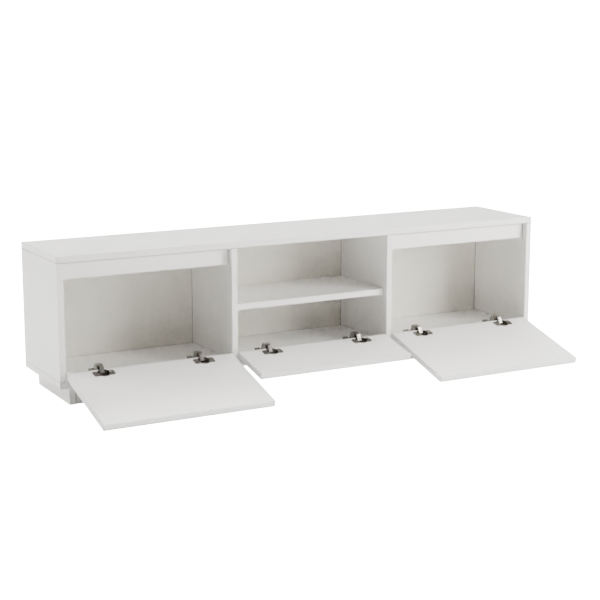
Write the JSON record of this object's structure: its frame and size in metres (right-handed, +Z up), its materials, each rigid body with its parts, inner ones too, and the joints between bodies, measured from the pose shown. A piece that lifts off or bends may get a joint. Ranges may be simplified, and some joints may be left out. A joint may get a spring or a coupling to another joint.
{
  "type": "tv stand with doors",
  "caption": "Low TV stand: white laminated box on framed feet, bays behind inset drop-front doors on concealed cup hinges, with a fixed shelf and recessed top rails.",
  "frame": {"origin": "on the floor, in the middle of the box that the stand fills with its doors open: on the centre line of its width and 12.7 mm behind the carcass's front plane, halfway between the front edges of the open side doors and the rear edges of the carcass", "axes": "+X to the right along the width as seen from the front, +Y from the front to the back, +Z up"},
  "size_m": [1.6, 0.5746, 0.424],
  "materials": {
    "white_laminate": "white melamine-faced board, satin",
    "back_board": "thin cream-white lacquered fibreboard, satin",
    "beech": "raw beech",
    "nickel_steel": "nickel-plated pressed steel",
    "zinc_steel": "zinc-plated steel"
  },
  "bodies": {
    "carcass": {"top_panel": "white_laminate", "bottom_panel": "white_laminate", "side_panel_left": "white_laminate", "side_panel_right": "white_laminate", "divider_left": "white_laminate", "divider_right": "white_laminate", "back_panel_left": "back_board", "back_panel_center": "back_board", "back_panel_right": "back_board", "shelf": "white_laminate", "shelf_pins": "nickel_steel", "top_rail_left": "white_laminate", "top_rail_right": "white_laminate", "foot_left_outer": "white_laminate", "foot_left_inner": "white_laminate", "foot_left_front": "white_laminate", "foot_left_back": "white_laminate", "foot_right_outer": "white_laminate", "foot_right_inner": "white_laminate", "foot_right_front": "white_laminate", "foot_right_back": "white_laminate", "foot_blocks": "beech", "foot_screws": "zinc_steel", "dowels": "beech", "cam_bolts": "zinc_steel", "cam_discs": "zinc_steel", "panel_screws": "zinc_steel", "hinge_plate_left": "nickel_steel", "hinge_plate_center": "nickel_steel", "hinge_plate_right": "nickel_steel", "hinge_plate_screws": "nickel_steel", "hinge_arm_screws": "nickel_steel", "hinge_arm_left_a": "nickel_steel", "hinge_arm_left_b": "nickel_steel", "hinge_arm_center_a": "nickel_steel", "hinge_arm_center_b": "nickel_steel", "hinge_arm_right_a": "nickel_steel", "hinge_arm_right_b": "nickel_steel"},
    "door_left": {"door_left": "white_laminate", "hinge_cup_left_a": "nickel_steel", "hinge_cup_left_b": "nickel_steel", "cup_screws_left": "nickel_steel"},
    "outer_links_left": {"outer_links_left": "nickel_steel"},
    "inner_links_left": {"inner_links_left": "nickel_steel"},
    "door_center": {"door_center": "white_laminate", "hinge_cup_center_a": "nickel_steel", "hinge_cup_center_b": "nickel_steel", "cup_screws_center": "nickel_steel"},
    "outer_links_center": {"outer_links_center": "nickel_steel"},
    "inner_links_center": {"inner_links_center": "nickel_steel"},
    "door_right": {"door_right": "white_laminate", "hinge_cup_right_a": "nickel_steel", "hinge_cup_right_b": "nickel_steel", "cup_screws_right": "nickel_steel"},
    "outer_links_right": {"outer_links_right": "nickel_steel"},
    "inner_links_right": {"inner_links_right": "nickel_steel"}
  },
  "joints": [
    {"name": "door_left_hinge", "type": "hinge", "parent": "carcass", "child": "door_left", "pos_m": [-0.52733, -0.0127, 0.079], "axis": [1, 0, 0], "range_deg": [-106, 0]},
    {"name": "outer_links_left_turn", "type": "hinge", "parent": "carcass", "child": "outer_links_left", "pos_m": [-0.52733, -0.0127, 0.079], "axis": [1, 0, 0], "range_deg": [-76.4, 0]},
    {"name": "inner_links_left_turn", "type": "hinge", "parent": "carcass", "child": "inner_links_left", "pos_m": [-0.52733, -0.0127, 0.079], "axis": [1, 0, 0], "range_deg": [-81.7, 0]},
    {"name": "door_center_hinge", "type": "hinge", "parent": "carcass", "child": "door_center", "pos_m": [0, -0.0127, 0.079], "axis": [1, 0, 0], "range_deg": [-103, 0]},
    {"name": "outer_links_center_turn", "type": "hinge", "parent": "carcass", "child": "outer_links_center", "pos_m": [0, -0.0127, 0.079], "axis": [1, 0, 0], "range_deg": [-74.2, 0]},
    {"name": "inner_links_center_turn", "type": "hinge", "parent": "carcass", "child": "inner_links_center", "pos_m": [0, -0.0127, 0.079], "axis": [1, 0, 0], "range_deg": [-79.4, 0]},
    {"name": "door_right_hinge", "type": "hinge", "parent": "carcass", "child": "door_right", "pos_m": [0.52733, -0.0127, 0.079], "axis": [1, 0, 0], "range_deg": [-106, 0]},
    {"name": "outer_links_right_turn", "type": "hinge", "parent": "carcass", "child": "outer_links_right", "pos_m": [0.52733, -0.0127, 0.079], "axis": [1, 0, 0], "range_deg": [-76.4, 0]},
    {"name": "inner_links_right_turn", "type": "hinge", "parent": "carcass", "child": "inner_links_right", "pos_m": [0.52733, -0.0127, 0.079], "axis": [1, 0, 0], "range_deg": [-81.7, 0]}
  ],
  "couplings": [
    {"joint": "outer_links_left_turn", "follows": "door_left_hinge", "ratio": 0.72},
    {"joint": "inner_links_left_turn", "follows": "door_left_hinge", "ratio": 0.77},
    {"joint": "outer_links_center_turn", "follows": "door_center_hinge", "ratio": 0.72},
    {"joint": "inner_links_center_turn", "follows": "door_center_hinge", "ratio": 0.77},
    {"joint": "outer_links_right_turn", "follows": "door_right_hinge", "ratio": 0.72},
    {"joint": "inner_links_right_turn", "follows": "door_right_hinge", "ratio": 0.77}
  ]
}
